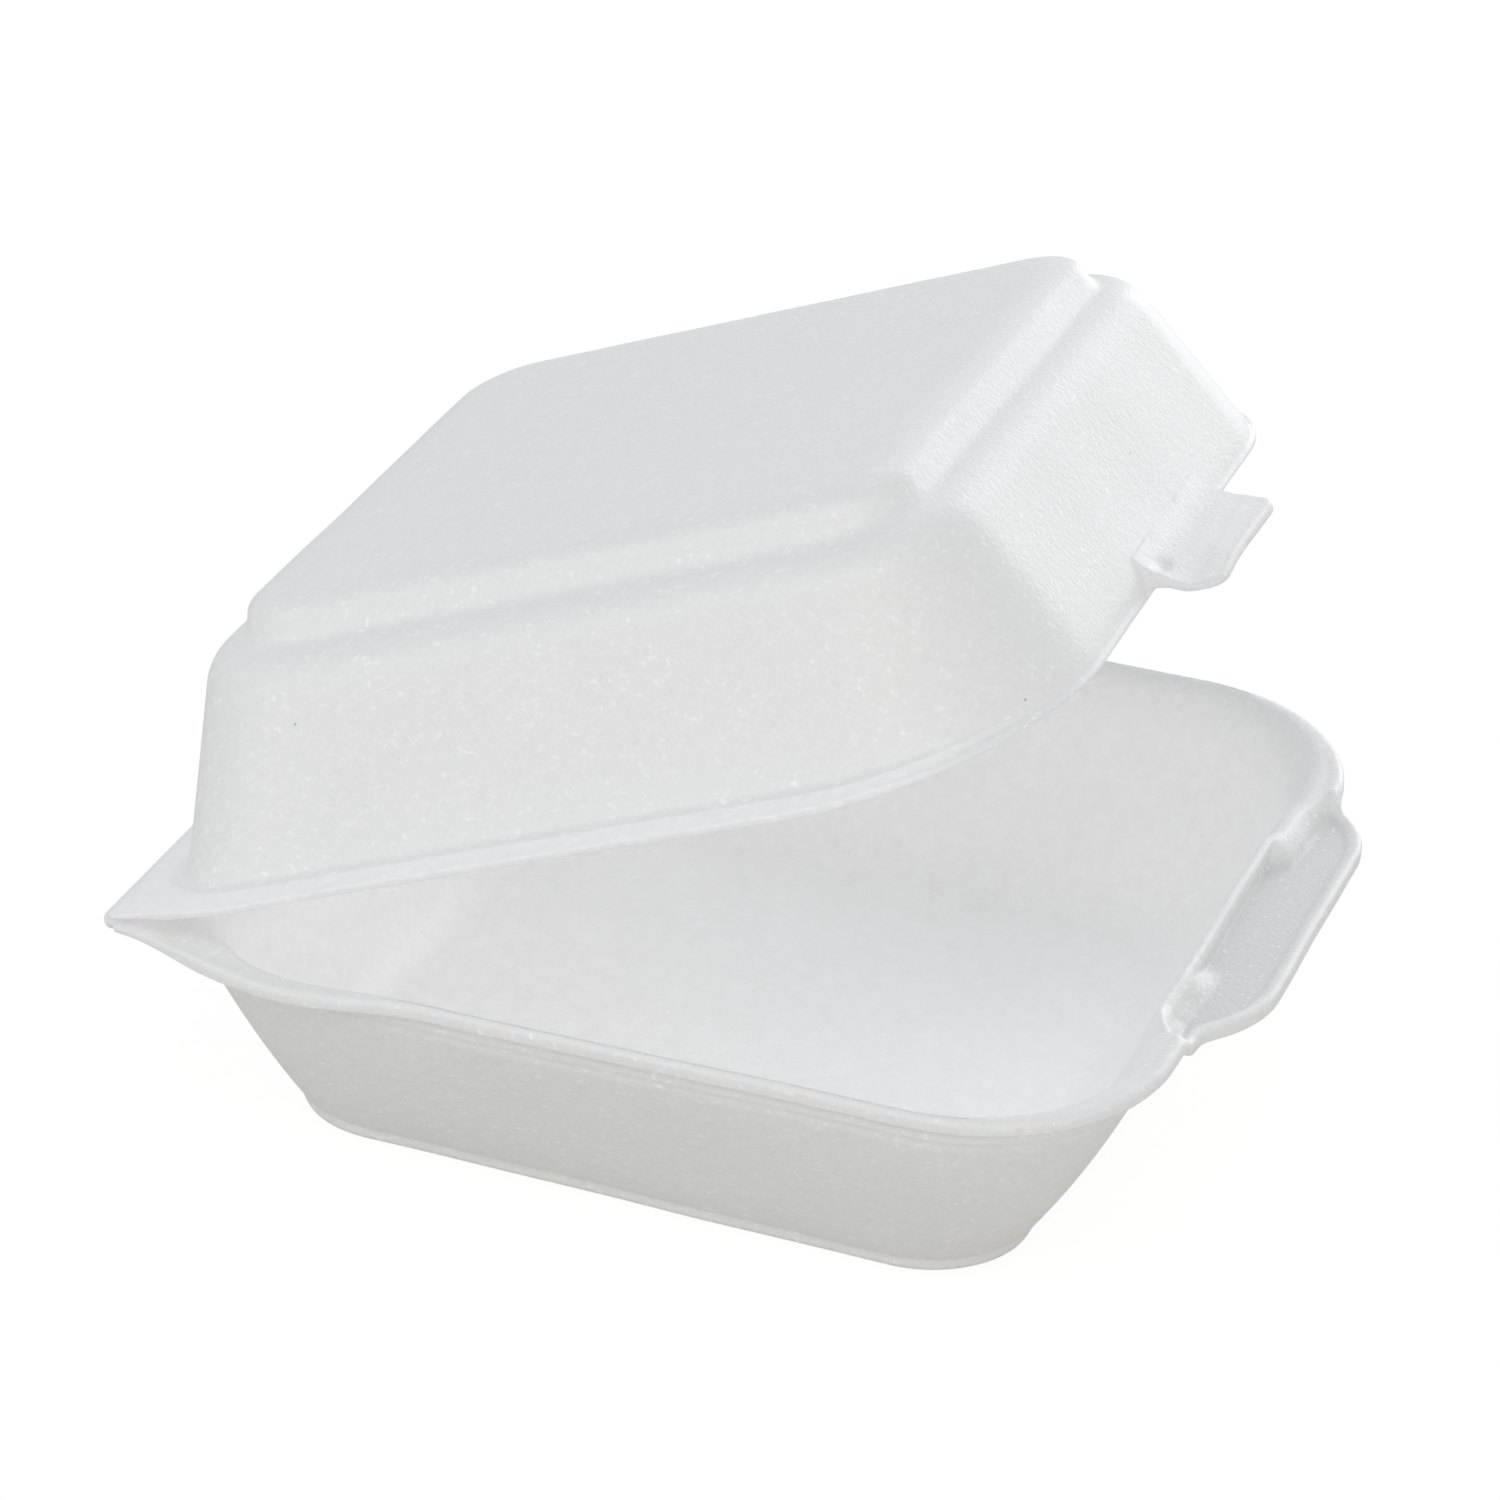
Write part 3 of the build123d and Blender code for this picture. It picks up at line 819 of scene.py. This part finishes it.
def foam_material():
    """White satin foam: cells of about half a millimetre, their clusters, and slow dents."""
    material = bpy.data.materials.new("foam")
    material.use_nodes = True
    tree = material.node_tree
    shader = next(n for n in tree.nodes if n.type == "BSDF_PRINCIPLED")
    place = make(tree, "TexCoord", out=3)
    # Per-point painted glow (above 0) and painted shade (below 0) of the foam.
    painted_glow_and_shade = make(tree, "Attribute", {"attribute_name": "painted_glow_and_shade"}, out=2)
    cells = make(tree, "TexNoise", Vector=place, Scale=1700.0, Detail=0.0)
    clusters = make(tree, "TexNoise", Vector=place, Scale=650.0, Detail=0.0)
    blotches = make(tree, "TexNoise", Vector=place, Scale=60.0, Detail=1.0)
    dirt = make(tree, "TexVoronoi", Vector=place, Scale=60.0)
    painted_glow_mask = painted_glow_and_shade.maths("MAXIMUM", painted_glow_and_shade, 0.0)
    # Painted glints: sparse cells that give off a little light, as highlights.
    painted_glint = cells.maths("GREATER_THAN", cells, 0.7) * clusters.maths("GREATER_THAN", clusters, 0.6)
    mottle = (cells - 0.5) * 1.0 + (clusters - 0.5) * 0.45 + (blotches - 0.5) * 0.3
    soft = painted_glow_mask.maths("MINIMUM", painted_glow_mask, 1.0) * (clusters - 0.5) * 1.2
    tint = make(tree, "Mix", {"data_type": "RGBA"}, out=2, Factor=mottle + soft + 0.5,
                A=(0.92, 0.92, 0.917, 1), B=(0.99, 0.99, 0.99, 1))
    # Painted shade: the flap under the lid is made darker in its colour.
    tint = make(tree, "Mix", {"data_type": "RGBA"}, out=2, Factor=painted_glow_and_shade * -FLAP_PAINTED_SHADE,
                A=tint, B=(0, 0, 0, 1))
    speck = dirt.maths("LESS_THAN", dirt, SPECK_SIZE) * 0.6
    tint = make(tree, "Mix", {"data_type": "RGBA"}, out=2, Factor=speck,
                A=tint, B=(0.25, 0.22, 0.18, 1))
    put(tree, shader.inputs["Base Color"], tint)
    put(tree, shader.inputs["Roughness"], 0.42 + mottle * 0.15)
    # Painted glow: the inner faces, the flange and the fold give off a faint light through Emission.
    glow = make(tree, "Mix", {"data_type": "RGBA", "clamp_factor": False}, out=2, Factor=painted_glow_mask,
                A=(0, 0, 0, 1), B=PAINTED_GLOW)
    # Painted glint: a small glow on those cells.
    glow = make(tree, "Mix", {"data_type": "RGBA"}, out=2, Factor=painted_glint, A=glow, B=(0.12, 0.12, 0.12, 1))
    put(tree, shader.inputs["Emission Color"], glow)
    shader.inputs["Emission Strength"].default_value = 1.0
    bump = make(tree, "Bump", Height=cells + clusters * 0.5 + blotches * 2.0, Strength=0.5,
                Distance=PEBBLE_DEPTH)
    put(tree, shader.inputs["Normal"], bump)
    shader.inputs["Specular IOR Level"].default_value = 0.45
    return material


foam = foam_material()
foam.cycles.emission_sampling = "NONE"
for piece in (tray, fold, lid, tab):
    piece.data.materials.append(foam)
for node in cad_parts.values():
    node.data.materials.clear()
    node.data.materials.append(foam)
print("foam nodes:", len(foam.node_tree.nodes))

# %% [markdown]
# ## Table, light and camera
# A pale table and broad soft lamps. The surround gives a soft grey light, and is white
# where it is seen. The camera stands to the left of the box and a little above it.

# %% Table
TABLE_GLOW = 1.13
TABLE_GLOW_SHARE = 0.8


def table_top(size, level):
    """A level square under the foot of the box. Where the camera sees it, most of it is an
    even glow, so that it is pale all over and still takes the box's shadow."""
    corners = np.array([[-1, -1], [1, -1], [1, 1], [-1, 1]]) * size
    mesh = bpy.data.meshes.new("table")
    mesh.from_pydata([(x, y, level) for x, y in corners], [], [(0, 1, 2, 3)])
    top = bpy.data.objects.new("table", mesh)
    bpy.context.scene.collection.objects.link(top)
    material = bpy.data.materials.new("table")
    material.use_nodes = True
    tree = material.node_tree
    shader = next(n for n in tree.nodes if n.type == "BSDF_PRINCIPLED")
    shader.inputs["Base Color"].default_value = (0.74, 0.73, 0.705, 1)
    shader.inputs["Roughness"].default_value = 0.9
    glow = make(tree, "Emission", Color=(1, 1, 1, 1), Strength=TABLE_GLOW)
    blend = tree.nodes.new("ShaderNodeMixShader")
    put(tree, blend.inputs["Fac"], make(tree, "LightPath") * TABLE_GLOW_SHARE)
    tree.links.new(shader.outputs["BSDF"], blend.inputs[1])
    put(tree, blend.inputs[2], glow)
    output = next(n for n in tree.nodes if n.type == "OUTPUT_MATERIAL")
    tree.links.new(blend.outputs["Shader"], output.inputs["Surface"])
    mesh.materials.append(material)
    return top


table_top(4.0, -0.0002)

# %% Surround and lamps
world = bpy.data.worlds.new("surround")
bpy.context.scene.world = world
world.use_nodes = True
tree = world.node_tree
background = next(n for n in tree.nodes if n.type == "BACKGROUND")
camera_ray = make(tree, "LightPath", out=0)
glossy_ray = make(tree, "LightPath", out=3)
clear_ray = make(tree, "LightPath", out=6)
direct = camera_ray.maths("MAXIMUM", camera_ray, glossy_ray.maths("MAXIMUM", glossy_ray, clear_ray))
AMBIENT = (0.424, 0.439, 0.458, 1)
put(tree, background.inputs["Color"], make(
    tree, "Mix", {"data_type": "RGBA"}, out=2, Factor=direct, A=AMBIENT, B=(1, 1, 1, 1)))
background.inputs["Strength"].default_value = 1.0


AIM = Vector((0, 0, 0.05))


def lamp(name, place, size, power, colour):
    """A square soft lamp that looks from its place at the box."""
    light = bpy.data.lights.new(name, "AREA")
    light.size = size
    light.energy = power
    light.color = colour
    holder = bpy.data.objects.new(name, light)
    holder.matrix_world = Matrix.Translation(Vector(place)) @ (
        AIM - Vector(place)).to_track_quat("-Z", "Y").to_matrix().to_4x4()
    bpy.context.scene.collection.objects.link(holder)
    return holder


lamp("near", (-0.85, -0.3, 0.58), 0.8, 0.9, (1.0, 0.93, 0.78))
lamp("over", (-0.62, -0.12, 0.8), 0.4, 0.8, (0.93, 0.965, 1.0))
lamp("before", (-0.3, -1.0, 0.28), 0.6, 1.3, (1.0, 0.952, 0.873))
lamp("behind", (-0.1, 0.8, 0.75), 0.7, 0.45, (0.96, 0.975, 1.0))
lamp("near_back", (-0.75, 0.7, 0.45), 0.8, 1.85, (1.0, 0.993, 0.954))
lamp("far", (0.95, 0.05, 0.6), 0.8, 1.5, (0.873, 0.919, 1.0))
lamp("far_low", (1.0, -0.25, 0.3), 0.6, 2.85, (1.0, 0.981, 0.986))

# %% Camera
CAMERA_PLACE = np.array([-743.12, -244.69, 454.48])
AZIMUTH, ELEVATION, ROLL = -71.42, 27.54, 3.53
FOCUS, CENTRE_X, CENTRE_Y, PHOTO = 5862.75, 742.39, 756.16, 1500


def camera_frame(azimuth, elevation, roll):
    """Columns of the camera's turn: right, up and backwards. Forward is given by the two
    angles, right is forward crossed with up, and roll turns the two about forward."""
    a, e, r = np.radians([azimuth, elevation, roll])
    forward = np.array([-np.sin(a) * np.cos(e), np.cos(a) * np.cos(e), -np.sin(e)])
    right = np.cross(forward, [0, 0, 1])
    right /= np.linalg.norm(right)
    up = np.cross(right, forward)
    turned_right = right * np.cos(r) + up * np.sin(r)
    turned_up = -right * np.sin(r) + up * np.cos(r)
    return np.stack([turned_right, turned_up, -forward], axis=1)


eye = bpy.data.cameras.new("camera")
eye.sensor_width = 36.0
eye.lens = FOCUS / PHOTO * 36.0
eye.shift_x = (PHOTO / 2 - CENTRE_X) / PHOTO
eye.shift_y = (CENTRE_Y - PHOTO / 2) / PHOTO
eye.clip_start, eye.clip_end = 0.01, 20
camera = bpy.data.objects.new("camera", eye)
camera.matrix_world = Matrix.Translation(Vector(CAMERA_PLACE * MM)) @ Matrix(
    camera_frame(AZIMUTH, ELEVATION, ROLL).tolist()).to_4x4()
bpy.context.scene.collection.objects.link(camera)
bpy.context.scene.camera = camera
bpy.context.scene.view_settings.view_transform = "Standard"
print("lens", round(eye.lens, 2), "shift", round(eye.shift_x, 4), round(eye.shift_y, 4))

# %% Bring the scene up to date
bpy.context.view_layer.update()
